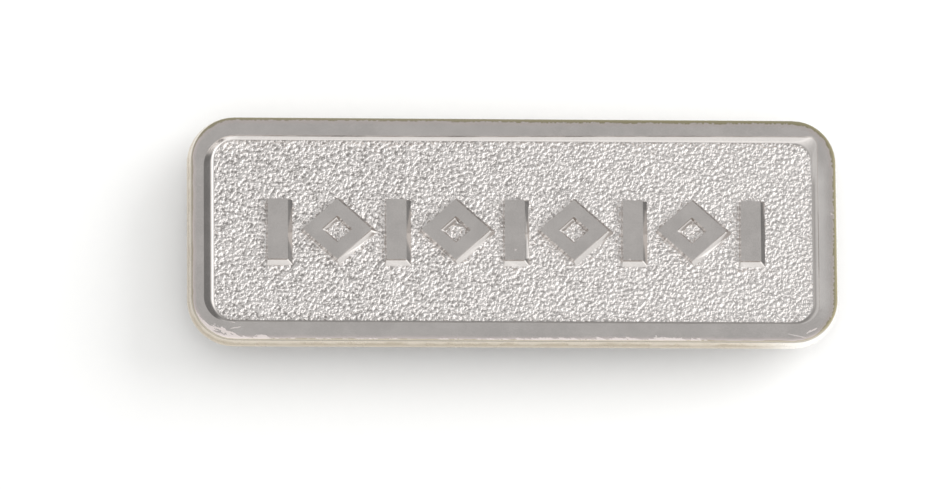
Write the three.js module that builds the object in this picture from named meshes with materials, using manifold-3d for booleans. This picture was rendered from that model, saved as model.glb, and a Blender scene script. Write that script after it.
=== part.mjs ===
// A struck metal name badge with a plain bar pin, lying face up on the pin.
// A flat rim runs round a sunk ground.
// A row of bars and pierced lozenges stands on the ground, level with the rim.
// Millimetres. +X runs along the badge, +Y towards its upper edge and +Z out of its face.
// The origin is under the middle of the badge, on the surface that the pin rests on.
import * as THREE from "three";
import { mergeVertices } from "three/addons/utils/BufferGeometryUtils.js";
import Module from "manifold-3d";

// Plate
const plateLength = 57; // at the back edge, the longest outline
const plateWidth = 20.2;
const plateThickness = 2; // back to rim
const plateCornerRadius = 4.1;
const sideFlare = 0.32; // how far the back edge stands out past the upper edge
const edgeBreakRun = 0.16; // softened upper edge, across
const edgeBreakDrop = 0.12; // and down

// Rim and sunk ground
const rimAtLeft = 1.07; // upper outline to the rim's inner edge, at the left end
const rimAtRight = 1.55;
const rimAtSides = 1.56; // the same at the two long sides
const rimInnerRadius = 2.3;
const wallRunAtLeft = 0.96; // rim's inner edge to the ground, in plan
const wallRunAtRight = 0.48;
const wallRunAtSides = 0.27;
const groundCornerRadius = 1.75;
const reliefDepth = 0.85; // rim to ground

// Ornament
const ornamentLength = 43.1; // row of upper faces, end to end
const ornamentHeight = 5.3; // upper faces, across the badge
const ornamentDraft = 0.42; // how far a foot stands out past its upper face, on the sides that lean
const ornamentSteepDraft = 0.06; // the same on the sides that stand steep
const ornamentLip = 0.5; // height of the steep lip above a leaning side
const ornamentLipDraft = 0.03;
const ornamentLean = -30; // degrees above +X of the direction that the leaning sides face
const ornamentRoot = 0.3; // buried below the ground, where the metal is one
const barCount = 5;
const barWidth = 1.75;
const barToLozenge = 1.3; // between upper faces
const lozengeStroke = 1.1; // outer edge to window
const windowDraft = 0.3;

// Bar pin
const pinHeight = 3.8; // plate's back above the surface
const footLength = 36;
const footWidth = 5;
const footThickness = 0.6;
const wireRadius = 0.5;
const wireClearance = 0.1; // over the catch's floor
const wireTaper = 2.4;
const wirePastCatch = 0.8;
const hingeLength = 3.2;
const hingeFlat = 2; // length of the cheeks' lower edge
const cheekThickness = 0.6;
const coilRadius = 1;
const catchLength = 3;
const catchWidth = 3.8;
const catchThickness = 0.65;
const catchLip = 1.7; // height of the catch's lip
const pinEndMargin = 1.6; // foot's end to the hinge and to the catch

// Smoothness
const arcSteps = 12; // per corner
const roundSides = 16;

// Wall between rim and ground, as shares of its run and of the relief: an upright lip, a slope and a soft foot
const wallSections = [
  { run: 0, drop: 0 },
  { run: 0, drop: 0.31 },
  { run: 0.56, drop: 0.81 },
  { run: 0.8, drop: 0.95 },
  { run: 1, drop: 1 },
];

const wireZ = catchThickness + wireClearance + wireRadius;
const backZ = pinHeight;
const rimZ = backZ + plateThickness;
const groundZ = rimZ - reliefDepth;
const upperLength = plateLength - 2 * sideFlare;
const upperWidth = plateWidth - 2 * sideFlare;

const wasm = await Module();
wasm.setup();

// A closed geometry as a solid that can be cut and joined.
function solidOf(geometry) {
  const bare = geometry.clone();
  bare.deleteAttribute("normal");
  bare.deleteAttribute("uv");
  const merged = mergeVertices(bare, 1e-5);
  return new wasm.Manifold(
    new wasm.Mesh({
      numProp: 3,
      vertProperties: new Float32Array(merged.getAttribute("position").array),
      triVerts: new Uint32Array(merged.index.array),
    }),
  );
}

// A solid as a geometry for a mesh.
function geometryOf(solid) {
  const made = solid.getMesh();
  const geometry = new THREE.BufferGeometry();
  geometry.setAttribute("position", new THREE.BufferAttribute(made.vertProperties, 3));
  geometry.setIndex(new THREE.BufferAttribute(made.triVerts, 1));
  return geometry.toNonIndexed();
}

// Joins a stack of outlines into a closed solid.
// Each has as many points as the others, runs anticlockwise and lies round the middle of the first.
function loft(outlines) {
  const count = outlines[0].length;
  const middle = new THREE.Vector3();
  outlines[0].forEach((point) => middle.addScaledVector(point, 1 / count));
  const first = new THREE.Vector3(middle.x, middle.y, outlines[0][0].z);
  const last = new THREE.Vector3(middle.x, middle.y, outlines.at(-1)[0].z);
  const points = [...outlines.flat(), first, last];
  const firstCap = outlines.length * count;
  const lastCap = firstCap + 1;
  const faces = [];
  for (let i = 0; i < count; i++) {
    const next = (i + 1) % count;
    faces.push(firstCap, next, i);
    for (let level = 0; level + 1 < outlines.length; level++) {
      const low = level * count;
      const high = low + count;
      faces.push(low + i, low + next, high + next);
      faces.push(low + i, high + next, high + i);
    }
    const top = (outlines.length - 1) * count;
    faces.push(lastCap, top + i, top + next);
  }
  return solidOf(new THREE.BufferGeometry().setFromPoints(points).setIndex(faces));
}

// A rectangle with round corners, about the Z axis.
function roundedOutline(length, width, radius, z) {
  const corners = [
    { x: 1, y: 1, turn: 0 },
    { x: -1, y: 1, turn: 1 },
    { x: -1, y: -1, turn: 2 },
    { x: 1, y: -1, turn: 3 },
  ];
  return corners.flatMap((corner) => {
    const centreX = corner.x * (length / 2 - radius);
    const centreY = corner.y * (width / 2 - radius);
    return Array.from({ length: arcSteps + 1 }, (_, step) => {
      const angle = ((corner.turn + step / arcSteps) * Math.PI) / 2;
      return new THREE.Vector3(centreX + radius * Math.cos(angle), centreY + radius * Math.sin(angle), z);
    });
  });
}

// The plate without its ornament: up the side, over the rim and down to the ground.
function plateBody() {
  const wall = wallSections.map(({ run, drop }) => {
    const left = rimAtLeft + run * wallRunAtLeft;
    const right = rimAtRight + run * wallRunAtRight;
    const outline = roundedOutline(
      upperLength - left - right,
      upperWidth - 2 * (rimAtSides + run * wallRunAtSides),
      rimInnerRadius + run * (groundCornerRadius - rimInnerRadius),
      rimZ - drop * reliefDepth,
    );
    return outline.map((point) => point.setX(point.x + (left - right) / 2));
  });
  return loft([
    roundedOutline(plateLength, plateWidth, plateCornerRadius, backZ),
    roundedOutline(upperLength, upperWidth, plateCornerRadius - sideFlare, rimZ - edgeBreakDrop),
    roundedOutline(
      upperLength - 2 * edgeBreakRun,
      upperWidth - 2 * edgeBreakRun,
      plateCornerRadius - sideFlare - edgeBreakRun,
      rimZ,
    ),
    ...wall,
  ]);
}

// How much a side that faces a direction leans: 1 near the leaning direction, easing to 0 at the far side.
function leaning(facing) {
  const lean = (ornamentLean * Math.PI) / 180;
  const along = facing.x * Math.cos(lean) + facing.y * Math.sin(lean);
  return THREE.MathUtils.clamp((along + 0.3) / 0.8, 0, 1);
}

// A convex outline with each side moved outwards by its own distance, given by its outward normal.
function spread(outline, distanceOf, z) {
  const count = outline.length;
  const sides = outline.map((point, i) => {
    const after = outline[(i + 1) % count];
    const normal = new THREE.Vector2(after.y - point.y, point.x - after.x).normalize();
    return { normal, distance: distanceOf(normal) };
  });
  return outline.map((point, i) => {
    const { normal: a, distance: p } = sides[(i + count - 1) % count];
    const { normal: b, distance: q } = sides[i];
    const cross = a.x * b.y - a.y * b.x;
    return new THREE.Vector3(
      point.x + (p * b.y - q * a.y) / cross,
      point.y + (q * a.x - p * b.x) / cross,
      z,
    );
  });
}

// A raised figure from below the ground to the level of the rim, with leaning and steep sides.
function raised(outline) {
  const foot = (normal) =>
    THREE.MathUtils.lerp(ornamentSteepDraft, ornamentDraft, leaning(normal));
  return loft([
    spread(outline, foot, groundZ - ornamentRoot),
    spread(outline, foot, groundZ),
    spread(outline, () => ornamentLipDraft, rimZ - ornamentLip),
    spread(outline, () => 0, rimZ),
  ]);
}

function bar(x) {
  const halfWidth = barWidth / 2;
  const halfHeight = ornamentHeight / 2;
  return raised([
    new THREE.Vector2(x - halfWidth, -halfHeight),
    new THREE.Vector2(x + halfWidth, -halfHeight),
    new THREE.Vector2(x + halfWidth, halfHeight),
    new THREE.Vector2(x - halfWidth, halfHeight),
  ]);
}

// A lozenge pierced by a smaller one, whose sides lean and stand as the others do.
function lozenge(x, length) {
  const halfLength = length / 2;
  const halfHeight = ornamentHeight / 2;
  const outline = [
    new THREE.Vector2(x - halfLength, 0),
    new THREE.Vector2(x, -halfHeight),
    new THREE.Vector2(x + halfLength, 0),
    new THREE.Vector2(x, halfHeight),
  ];
  const past = ornamentRoot; // the cutter runs past both ends of the lozenge
  const foot = (normal) => {
    const draft = THREE.MathUtils.lerp(ornamentSteepDraft, windowDraft, leaning(normal.clone().negate()));
    return -lozengeStroke - draft;
  };
  const lip = () => -lozengeStroke - ornamentLipDraft;
  const window = loft([
    spread(outline, foot, groundZ - ornamentRoot - past),
    spread(outline, foot, groundZ),
    spread(outline, lip, rimZ - ornamentLip),
    spread(outline, () => -lozengeStroke, rimZ + past),
  ]);
  return raised(outline).subtract(window);
}

// Bars at equal steps, with a lozenge between each two.
function ornament() {
  const pitch = (ornamentLength - barWidth) / (barCount - 1);
  const lozengeLength = pitch - barWidth - 2 * barToLozenge;
  const start = -(ornamentLength - barWidth) / 2;
  const figures = [];
  for (let i = 0; i < barCount; i++) {
    const x = start + i * pitch;
    figures.push(bar(x));
    if (i + 1 < barCount) figures.push(lozenge(x + pitch / 2, lozengeLength));
  }
  return figures;
}

function badgePlate() {
  return ornament().reduce((body, figure) => body.add(figure), plateBody());
}

// A flat outline carried along X, drawn as (y, z) points.
function alongX(points, startX, length) {
  const shape = new THREE.Shape(points.map(([y, z]) => new THREE.Vector2(y, z)));
  const geometry = new THREE.ExtrudeGeometry(shape, { depth: length, bevelEnabled: false });
  geometry.applyMatrix4(
    new THREE.Matrix4().makeBasis(
      new THREE.Vector3(0, 1, 0),
      new THREE.Vector3(0, 0, 1),
      new THREE.Vector3(1, 0, 0),
    ),
  );
  geometry.translate(startX, 0, 0);
  return solidOf(geometry);
}

// A strip with round ends, face to face with the plate's back.
function foot() {
  const radius = footWidth / 2;
  const straight = footLength / 2 - radius;
  const shape = new THREE.Shape();
  shape.absarc(straight, 0, radius, -Math.PI / 2, Math.PI / 2, false);
  shape.absarc(-straight, 0, radius, Math.PI / 2, (3 * Math.PI) / 2, false);
  const geometry = new THREE.ExtrudeGeometry(shape, {
    depth: footThickness,
    bevelEnabled: false,
    curveSegments: arcSteps,
  });
  geometry.translate(0, 0, pinHeight - footThickness);
  return solidOf(geometry);
}

// Two cheeks folded down from the foot, with the wire's coil between them.
function hinge() {
  const endX = -footLength / 2 + pinEndMargin;
  const middleX = endX + hingeLength / 2;
  const footMiddleZ = pinHeight - footThickness / 2;
  const cheekSide = new THREE.Shape([
    new THREE.Vector2(middleX - hingeFlat / 2, 0),
    new THREE.Vector2(middleX + hingeFlat / 2, 0),
    new THREE.Vector2(middleX + hingeLength / 2, wireZ),
    new THREE.Vector2(middleX + hingeLength / 2, footMiddleZ),
    new THREE.Vector2(middleX - hingeLength / 2, footMiddleZ),
    new THREE.Vector2(middleX - hingeLength / 2, wireZ),
  ]);
  const cheek = (outerY) => {
    const geometry = new THREE.ExtrudeGeometry(cheekSide, { depth: cheekThickness, bevelEnabled: false });
    geometry.rotateX(Math.PI / 2);
    geometry.translate(0, outerY, 0);
    return solidOf(geometry);
  };
  const coilLength = footWidth - cheekThickness; // from the middle of one cheek to that of the other
  const coil = new THREE.CylinderGeometry(coilRadius, coilRadius, coilLength, roundSides);
  coil.translate(middleX, 0, wireZ);
  return cheek(footWidth / 2).add(cheek(-footWidth / 2 + cheekThickness)).add(solidOf(coil));
}

// A folded hook that holds the wire's end, open towards +Y.
function clasp() {
  const startX = footLength / 2 - pinEndMargin - catchLength;
  const back = -catchWidth / 2;
  const front = catchWidth / 2;
  const footMiddleZ = pinHeight - footThickness / 2;
  return alongX(
    [
      [back, 0],
      [front, 0],
      [front, catchLip],
      [front - catchThickness, catchLip],
      [front - catchThickness, catchThickness],
      [back + catchThickness, catchThickness],
      [back + catchThickness, footMiddleZ],
      [back, footMiddleZ],
    ],
    startX,
    catchLength,
  );
}

// The pin's wire, from the hinge's coil to a point just past the catch.
function wire() {
  const startX = -footLength / 2 + pinEndMargin + hingeLength / 2;
  const tipX = footLength / 2 - pinEndMargin + wirePastCatch;
  const profile = [
    new THREE.Vector2(0, startX),
    new THREE.Vector2(wireRadius, startX),
    new THREE.Vector2(wireRadius, tipX - wireTaper),
    new THREE.Vector2(0, tipX),
  ];
  const geometry = new THREE.LatheGeometry(profile, roundSides);
  geometry.rotateZ(-Math.PI / 2);
  geometry.translate(0, 0, wireZ);
  return solidOf(geometry);
}

function pinBack() {
  return foot().add(hinge()).add(clasp()).add(wire());
}

function piece(name, solid, material) {
  const mesh = new THREE.Mesh(geometryOf(solid), new THREE.MeshStandardMaterial(material));
  mesh.name = name;
  return mesh;
}

const badge = new THREE.Group();
badge.add(piece("badge_plate", badgePlate(), { color: 0xc9c5c0, roughness: 0.2, metalness: 1 }));
badge.add(piece("pin_back", pinBack(), { color: 0xb9b6b1, roughness: 0.35, metalness: 1 }));

export default badge;
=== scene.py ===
"""A struck metal name badge, lying face up on its bar pin: the dressed model, its stage and its camera.

Shapes are worked out in millimetres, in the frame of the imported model, and become metres in the mesh.
"""

import logging
import math
from dataclasses import dataclass, field
from enum import Enum, IntEnum

import bpy
import numpy as np
from mathutils import Matrix, Vector


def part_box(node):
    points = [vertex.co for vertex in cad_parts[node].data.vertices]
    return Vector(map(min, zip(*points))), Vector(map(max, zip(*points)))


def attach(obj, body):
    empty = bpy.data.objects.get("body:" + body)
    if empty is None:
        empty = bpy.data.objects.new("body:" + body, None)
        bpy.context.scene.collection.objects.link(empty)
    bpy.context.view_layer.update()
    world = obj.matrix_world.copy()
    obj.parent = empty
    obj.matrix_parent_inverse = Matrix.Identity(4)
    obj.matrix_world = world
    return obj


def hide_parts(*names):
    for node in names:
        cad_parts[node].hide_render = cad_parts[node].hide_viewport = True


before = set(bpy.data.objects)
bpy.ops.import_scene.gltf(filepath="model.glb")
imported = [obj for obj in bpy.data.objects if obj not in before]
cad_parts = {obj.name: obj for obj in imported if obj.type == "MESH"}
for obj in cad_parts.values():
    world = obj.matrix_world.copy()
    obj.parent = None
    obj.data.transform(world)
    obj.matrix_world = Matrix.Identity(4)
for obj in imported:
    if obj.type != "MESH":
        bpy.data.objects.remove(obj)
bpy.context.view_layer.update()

LOG = logging.getLogger("name_badge")
MM = 0.001
BODY = "root"
PLATE_NODE = "badge_plate"
PIN_NODE = "pin_back"

Colour = tuple[float, float, float]
Socket = bpy.types.NodeSocket
NOWHERE = (0.0, 0.0, 0.0)


class Zone(IntEnum):
    """Which finish a face of the plate takes, in the order of the plate's material slots."""

    POLISHED = 0
    PEBBLED = 1
    SIDE = 2
    BACK = 3


class Axes(Enum):
    """How a drawn outline and its height map to X, Y and Z."""

    UP = (0, 1, 2)
    ACROSS = (0, 2, 1)


def box_mm(node: str) -> tuple[np.ndarray, np.ndarray]:
    """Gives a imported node's lowest and highest corners, in millimetres."""
    low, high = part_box(node)
    return np.array(low) / MM, np.array(high) / MM


@dataclass(frozen=True)
class Surface:
    """Points and faces of a mesh in the making, with the finish of each face."""

    points: np.ndarray
    quads: np.ndarray
    zones: np.ndarray
    caps: tuple[tuple[np.ndarray, int], ...] = ()

    def mesh(self, name: str) -> bpy.types.Mesh:
        """Makes a Blender mesh in metres.

        Args:
            name: Name of the mesh.

        Returns:
            The mesh.
        """
        mesh = bpy.data.meshes.new(name)
        faces = self.quads.tolist() + [loop.tolist() for loop, _ in self.caps]
        mesh.from_pydata((self.points * MM).tolist(), [], faces)
        zones = np.concatenate([self.zones, [zone for _, zone in self.caps]]).astype(np.int32)
        mesh.polygons.foreach_set("material_index", zones)
        mesh.update()
        return mesh


def grid_quads(rows: int, columns: int, wrap_rows: bool = False, wrap_columns: bool = False) -> np.ndarray:
    """Numbers the quads of a grid of points that are stored row by row.

    The quad at row i and column j joins points (i, j), (i, j + 1), (i + 1, j + 1) and (i + 1, j).

    Args:
        rows: Rows of points.
        columns: Points in a row.
        wrap_rows: Whether the last row joins the first.
        wrap_columns: Whether a row's last point joins its first.

    Returns:
        One row of four point numbers for each quad.
    """
    i = np.arange(rows if wrap_rows else rows - 1)[:, None]
    j = np.arange(columns if wrap_columns else columns - 1)[None, :]
    below = (i + 1) % rows
    right = (j + 1) % columns
    corners = (i * columns + j, i * columns + right, below * columns + right, below * columns + j)
    return np.stack([np.broadcast_to(c, (len(i), j.shape[1])) for c in corners], -1).reshape(-1, 4)


def smooth(value: np.ndarray, start: float, end: float) -> np.ndarray:
    """Rises from 0 at start to 1 at end as 3t squared minus 2t cubed."""
    t = np.clip((value - start) / (end - start), 0, 1)
    return t * t * (3 - 2 * t)


def inside_distance(x: np.ndarray, y: np.ndarray, half: tuple[float, float], radius: float) -> np.ndarray:
    """Measures how far points lie inside a rectangle with round corners.

    Beyond the corner centres the distance is the radius less the distance to the nearest centre.
    Elsewhere it is the distance to the nearest side.

    Args:
        x: Places along X.
        y: Places along Y.
        half: Half the rectangle's length and width.
        radius: Radius of its corners.

    Returns:
        Distance to the outline, positive inside.
    """
    past_x = np.abs(x) - (half[0] - radius)
    past_y = np.abs(y) - (half[1] - radius)
    round_part = np.hypot(np.maximum(past_x, 0), np.maximum(past_y, 0))
    flat_part = np.minimum(np.maximum(past_x, past_y), 0)
    return radius - round_part - flat_part


@dataclass(frozen=True)
class GrainField:
    """A sheet of random waves whose lengths lie close to one period, as a pebbling punch leaves."""

    length: float
    width: float
    period: float
    spread: float = 0.34
    cell: float = 0.045
    seed: int = 11
    heights: np.ndarray = field(init=False)

    def __post_init__(self) -> None:
        """Filters white noise by a Gaussian in the logarithm of frequency, round one over the period.

        The filter is divided by the frequency, which evens out the number of waves in each octave.
        """
        shape = (int(self.width / self.cell) + 8, int(self.length / self.cell) + 8)
        noise = np.random.default_rng(self.seed).standard_normal(shape)
        frequency = np.hypot(
            np.fft.fftfreq(shape[0], self.cell)[:, None], np.fft.rfftfreq(shape[1], self.cell)[None, :]
        )
        waves_in_period = np.maximum(frequency, 1e-6) * self.period
        kept = np.exp(-0.5 * (np.log(waves_in_period) / self.spread) ** 2) / waves_in_period
        waves = np.fft.irfft2(np.fft.rfft2(noise) * kept, s=shape)
        object.__setattr__(self, "heights", waves / waves.std())

    def at(self, x: np.ndarray, y: np.ndarray) -> np.ndarray:
        """Reads the sheet at points, by a weighted mean of the four cells round each.

        Args:
            x: Places along X, from the sheet's middle.
            y: Places along Y, from the sheet's middle.

        Returns:
            Heights with a spread of one.
        """
        rows, columns = self.heights.shape
        column = np.clip(x / self.cell + columns / 2, 0, columns - 2)
        row = np.clip(y / self.cell + rows / 2, 0, rows - 2)
        j, i = column.astype(int), row.astype(int)
        u, v = column - j, row - i
        lower = self.heights[i, j] * (1 - u) + self.heights[i, j + 1] * u
        upper = self.heights[i + 1, j] * (1 - u) + self.heights[i + 1, j + 1] * u
        return lower * (1 - v) + upper * v


@dataclass(frozen=True)
class RoundRing:
    """Points round a rectangle with round corners, anticlockwise, that fit every inset of it.

    A point is its corner centre plus the radius times its outward normal.
    On a straight side the centre slides from one corner's to the next.
    """

    side_x: np.ndarray
    side_y: np.ndarray
    normal_x: np.ndarray
    normal_y: np.ndarray

    @classmethod
    def of_grid(cls, along: np.ndarray, rows: np.ndarray, turns: np.ndarray) -> "RoundRing":
        """Makes the ring that bounds a grid of rows.

        Args:
            along: Places of the columns, from -1 to 1.
            rows: For each row, its corner centre's place along Y, from -1 to 1.
            turns: For each row, the angle of its end's normal above X.

        Returns:
            The ring: lowest row, right ends, highest row and left ends.
        """
        inner = slice(1, -1)
        ends = np.ones(len(rows))[inner]
        cos, sin = np.cos(turns)[inner], np.sin(turns)[inner]
        flat = np.zeros(len(along))
        return cls(
            np.concatenate([along, ends, along[::-1], -ends]),
            np.concatenate([flat - 1, rows[inner], flat + 1, rows[inner][::-1]]),
            np.concatenate([flat, cos, flat, -cos[::-1]]),
            np.concatenate([flat - 1, sin, flat + 1, sin[::-1]]),
        )

    def outline(self, half: np.ndarray, radius: np.ndarray, z: np.ndarray) -> np.ndarray:
        """Places the ring at a size.

        Args:
            half: Half the length and half the width, one value each or one for each point.
            radius: Corner radius, likewise.
            z: Height, likewise.

        Returns:
            One point a row.
        """
        x = self.side_x * (half[0] - radius) + radius * self.normal_x
        y = self.side_y * (half[1] - radius) + radius * self.normal_y
        return np.stack([x, y, np.broadcast_to(z, x.shape)], -1)


@dataclass(frozen=True)
class RoundPolygon:
    """A convex outline, anticlockwise, whose corners are arcs."""

    corners: tuple[tuple[float, float], ...]
    radius: float
    arc_steps: int = 4
    lead: float = 0.0

    @property
    def count(self) -> int:
        """Points of the outline."""
        return len(self.corners) * (self.arc_steps + (3 if self.lead else 1))

    def normals(self) -> np.ndarray:
        """Finds the outward normal of each side, from its first corner to the next, as (x, y) rows."""
        corner = np.array(self.corners)
        ahead = np.roll(corner, -1, 0) - corner
        ahead /= np.linalg.norm(ahead, axis=1)[:, None]
        return np.stack([ahead[:, 1], -ahead[:, 0]], -1)

    def outline(self, offset: float | np.ndarray = 0.0, radius: float | None = None) -> np.ndarray:
        """Moves each side outwards and rounds the corners.

        A moved corner is where the lines of its two sides meet: its shift s obeys s.a = p and s.b = q,
        where a and b are the sides' normals and p and q their distances.
        An arc's centre lies inside its corner by the radius over the cosine of half the turn.
        A point before each arc and one after it, at the lead's distance, keep the shading of the sides flat.

        Args:
            offset: Distance outwards, for all sides or one for each.
            radius: Radius of the arcs, when it isn't the outline's own.

        Returns:
            Points of the outline, as (x, y) rows.
        """
        reach = self.radius if radius is None else radius
        after = self.normals()
        before = np.roll(after, 1, 0)
        q = np.broadcast_to(offset, (len(after),))
        p = np.roll(q, 1)
        cross = before[:, 0] * after[:, 1] - before[:, 1] * after[:, 0]
        shift_x = (p * after[:, 1] - q * before[:, 1]) / cross
        shift_y = (q * before[:, 0] - p * after[:, 0]) / cross
        corner = np.array(self.corners) + np.stack([shift_x, shift_y], -1)
        middle = before + after
        centre = corner - middle * reach * 2 / (middle**2).sum(1)[:, None]
        start = np.arctan2(before[:, 1], before[:, 0])
        turn = np.mod(np.arctan2(after[:, 1], after[:, 0]) - start, 2 * np.pi)
        angle = start[:, None] + turn[:, None] * np.linspace(0, 1, self.arc_steps + 1)[None, :]
        arcs = centre[:, None] + reach * np.stack([np.cos(angle), np.sin(angle)], -1)
        if not self.lead:
            return arcs.reshape(-1, 2)
        along_before, along_after = (np.stack([-n[:, 1], n[:, 0]], -1) for n in (before, after))
        ahead = arcs[:, :1] - self.lead * along_before[:, None]
        behind = arcs[:, -1:] + self.lead * along_after[:, None]
        return np.concatenate([ahead, arcs, behind], 1).reshape(-1, 2)

    def level(self, offset: float | np.ndarray, z: float, radius: float | None = None) -> np.ndarray:
        """Gives the moved outline at a height, as (x, y, z) rows."""
        return np.column_stack([self.outline(offset, radius), np.full(self.count, z)])


def tube(loops: np.ndarray, inward: bool = False) -> Surface:
    """Joins closed loops of points, one after the other, and caps both ends.

    Args:
        loops: Points, by loop and by place in the loop.
        inward: Whether the loops run so that the faces would look inwards, and have to be turned over.

    Returns:
        A closed surface.
    """
    rows, count = loops.shape[:2]
    quads = grid_quads(rows, count, wrap_columns=True)
    first, last = np.arange(count)[::-1], np.arange(count) + (rows - 1) * count
    if inward:
        quads, first, last = quads[:, ::-1], first[::-1], last[::-1]
    caps = ((first, Zone.POLISHED), (last, Zone.POLISHED))
    return Surface(loops.reshape(-1, 3), quads, np.full(len(quads), Zone.POLISHED), caps)


def lofted(shape: RoundPolygon, profile: list, axes: Axes, swell: bool = False) -> Surface:
    """Carries an outline through a profile of offsets and heights, and caps both ends.

    Args:
        shape: The outline.
        profile: For each level, its offset outwards, for all sides or one for each, and its height.
        axes: How the outline and the height lie in space.
        swell: Whether the corners' radius grows by the offset.

    Returns:
        A closed surface.
    """
    radii = [shape.radius + np.mean(o) if swell else shape.radius for o, _ in profile]
    levels = [shape.level(offset, height, radius) for (offset, height), radius in zip(profile, radii)]
    return tube(np.stack(levels)[..., list(axes.value)], inward=axes is Axes.ACROSS)


def arc_profile(start: tuple[float, float], end: tuple[float, float], bulge: float, steps: int) -> np.ndarray:
    """Draws a bent line between two points as a quadratic curve.

    Its control point lies beside the middle of the chord, at bulge times the chord's length.

    Args:
        start: First point.
        end: Last point.
        bulge: Share of the chord, positive to the left of the way from start to end.
        steps: Segments.

    Returns:
        Points of the curve, with both ends.
    """
    a, b = np.array(start, float), np.array(end, float)
    chord = b - a
    control = (a + b) / 2 + bulge * np.array([-chord[1], chord[0]])
    t = np.linspace(0, 1, steps + 1)[:, None]
    return (1 - t) ** 2 * a + 2 * t * (1 - t) * control + t**2 * b


def fused(name: str, surfaces: list[Surface]) -> bpy.types.Mesh:
    """Joins closed surfaces that cross into one closed mesh.

    Args:
        name: Name of the new mesh.
        surfaces: The first is the body, and the rest are added to it.

    Returns:
        The fused mesh.
    """
    objects = []
    for number, surface in enumerate(surfaces):
        made = bpy.data.objects.new(f"{name}_part_{number}", surface.mesh(f"{name}_part_{number}"))
        bpy.context.scene.collection.objects.link(made)
        for zone in Zone:
            made.data.materials.append(None)
        objects.append(made)
    body, others = objects[0], objects[1:]
    group = bpy.data.collections.new(f"{name}_others")
    for other in others:
        group.objects.link(other)
    union = body.modifiers.new("union", "BOOLEAN")
    union.operation = "UNION"
    union.operand_type = "COLLECTION"
    union.collection = group
    union.solver = "MANIFOLD"
    bpy.context.view_layer.update()
    evaluated = body.evaluated_get(bpy.context.evaluated_depsgraph_get())
    mesh = bpy.data.meshes.new_from_object(evaluated)
    mesh.name = name
    for made in objects:
        data = made.data
        bpy.data.objects.remove(made)
        bpy.data.meshes.remove(data)
    bpy.data.collections.remove(group)
    return mesh


def coordinates(mesh: bpy.types.Mesh) -> np.ndarray:
    """Reads a mesh's points in millimetres."""
    values = np.empty(len(mesh.vertices) * 3, np.float32)
    mesh.vertices.foreach_get("co", values)
    return values.reshape(-1, 3) / MM


def set_attribute(mesh: bpy.types.Mesh, name: str, values: np.ndarray) -> None:
    """Stores one number for each point of a mesh."""
    attribute = mesh.attributes.new(name, "FLOAT", "POINT")
    attribute.data.foreach_set("value", values.astype(np.float32))


def place(name: str, mesh: bpy.types.Mesh, crease: float, node: str) -> bpy.types.Object:
    """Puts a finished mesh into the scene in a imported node's place.

    Args:
        name: Name of the piece.
        mesh: Its mesh.
        crease: Angle between faces, in degrees, past which an edge stays sharp.
        node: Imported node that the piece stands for.

    Returns:
        The piece.
    """
    piece = bpy.data.objects.new(name, mesh)
    bpy.context.scene.collection.objects.link(piece)
    mesh.polygons.foreach_set("use_smooth", np.ones(len(mesh.polygons), bool))
    mesh.set_sharp_from_angle(angle=math.radians(crease))
    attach(piece, BODY)
    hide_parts(node)
    LOG.info("%s: %d points, %d faces", name, len(mesh.vertices), len(mesh.polygons))
    return piece


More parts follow.
